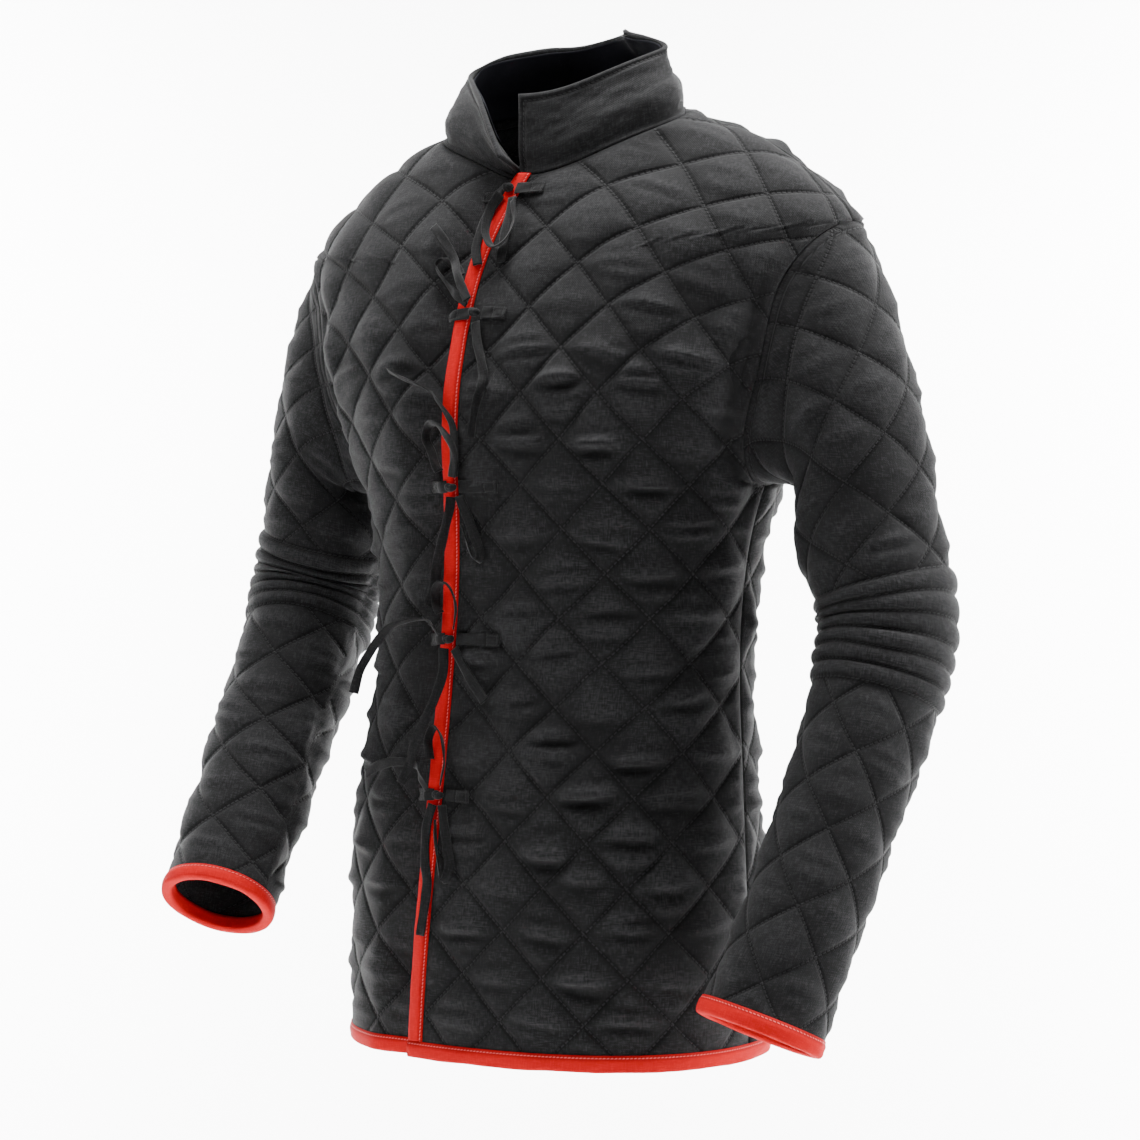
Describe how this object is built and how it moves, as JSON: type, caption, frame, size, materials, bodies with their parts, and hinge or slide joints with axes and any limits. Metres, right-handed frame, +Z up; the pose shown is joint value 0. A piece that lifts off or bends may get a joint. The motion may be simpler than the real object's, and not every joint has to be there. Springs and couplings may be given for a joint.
{
  "type": "gambeson",
  "caption": "Quilted padded jacket in worn, hollow form: stand collar, lapped front closed by tied tapes, set-in long sleeves, contrast-bound front, hem and cuffs.",
  "frame": {"origin": "middle of the neck, halfway between the two points where the shoulder seams meet the neckline", "axes": "+Z up the wearer's back, -Y the way the wearer faces, +X to the wearer's left"},
  "size_m": [0.6767, 0.345, 0.853],
  "materials": {
    "back": "charcoal quilted cloth",
    "collar": "charcoal padded cloth",
    "collar_lining": "navy-black plain lining",
    "cuff_binding_left": "red woven binding strip",
    "cuff_binding_right": "red woven binding strip",
    "edge_binding_left": "red woven binding strip",
    "edge_binding_right": "red woven binding strip",
    "front_left": "charcoal quilted cloth",
    "front_right": "charcoal quilted cloth",
    "hem_binding": "red woven binding strip",
    "sleeve_left": "charcoal quilted cloth",
    "sleeve_right": "charcoal quilted cloth",
    "tie_1_knot": "black woven tape",
    "tie_1_loop": "black woven tape",
    "tie_1_tab_left": "black woven tape",
    "tie_1_tab_right": "black woven tape",
    "tie_1_tail_left": "black woven tape",
    "tie_1_tail_right": "black woven tape",
    "tie_2_knot": "black woven tape",
    "tie_2_loop": "black woven tape",
    "tie_2_tab_left": "black woven tape",
    "tie_2_tab_right": "black woven tape",
    "tie_2_tail_down": "black woven tape",
    "tie_2_tail_up": "black woven tape",
    "tie_3_knot": "black woven tape",
    "tie_3_loop": "black woven tape",
    "tie_3_loop_down": "black woven tape",
    "tie_3_tab_left": "black woven tape",
    "tie_3_tab_right": "black woven tape",
    "tie_3_tail_down": "black woven tape",
    "tie_3_tail_up": "black woven tape",
    "tie_4_knot": "black woven tape",
    "tie_4_loop": "black woven tape",
    "tie_4_tab_left": "black woven tape",
    "tie_4_tab_right": "black woven tape",
    "tie_4_tail_down": "black woven tape",
    "tie_4_tail_long": "black woven tape",
    "tie_4_tail_up": "black woven tape",
    "tie_5_knot": "black woven tape",
    "tie_5_loop": "black woven tape",
    "tie_5_loop_up": "black woven tape",
    "tie_5_tab_left": "black woven tape",
    "tie_5_tab_right": "black woven tape",
    "tie_5_tail_down": "black woven tape",
    "tie_5_tail_up": "black woven tape"
  },
  "bodies": {
    "root": {"back": "back", "collar": "collar", "collar_lining": "collar_lining", "cuff_binding_left": "cuff_binding_left", "cuff_binding_right": "cuff_binding_right", "edge_binding_left": "edge_binding_left", "edge_binding_right": "edge_binding_right", "front_left": "front_left", "front_right": "front_right", "hem_binding": "hem_binding", "sleeve_left": "sleeve_left", "sleeve_right": "sleeve_right", "tie_1_knot": "tie_1_knot", "tie_1_loop": "tie_1_loop", "tie_1_tab_left": "tie_1_tab_left", "tie_1_tab_right": "tie_1_tab_right", "tie_1_tail_left": "tie_1_tail_left", "tie_1_tail_right": "tie_1_tail_right", "tie_2_knot": "tie_2_knot", "tie_2_loop": "tie_2_loop", "tie_2_tab_left": "tie_2_tab_left", "tie_2_tab_right": "tie_2_tab_right", "tie_2_tail_down": "tie_2_tail_down", "tie_2_tail_up": "tie_2_tail_up", "tie_3_knot": "tie_3_knot", "tie_3_loop": "tie_3_loop", "tie_3_loop_down": "tie_3_loop_down", "tie_3_tab_left": "tie_3_tab_left", "tie_3_tab_right": "tie_3_tab_right", "tie_3_tail_down": "tie_3_tail_down", "tie_3_tail_up": "tie_3_tail_up", "tie_4_knot": "tie_4_knot", "tie_4_loop": "tie_4_loop", "tie_4_tab_left": "tie_4_tab_left", "tie_4_tab_right": "tie_4_tab_right", "tie_4_tail_down": "tie_4_tail_down", "tie_4_tail_long": "tie_4_tail_long", "tie_4_tail_up": "tie_4_tail_up", "tie_5_knot": "tie_5_knot", "tie_5_loop": "tie_5_loop", "tie_5_loop_up": "tie_5_loop_up", "tie_5_tab_left": "tie_5_tab_left", "tie_5_tab_right": "tie_5_tab_right", "tie_5_tail_down": "tie_5_tail_down", "tie_5_tail_up": "tie_5_tail_up"}
  },
  "joints": []
}
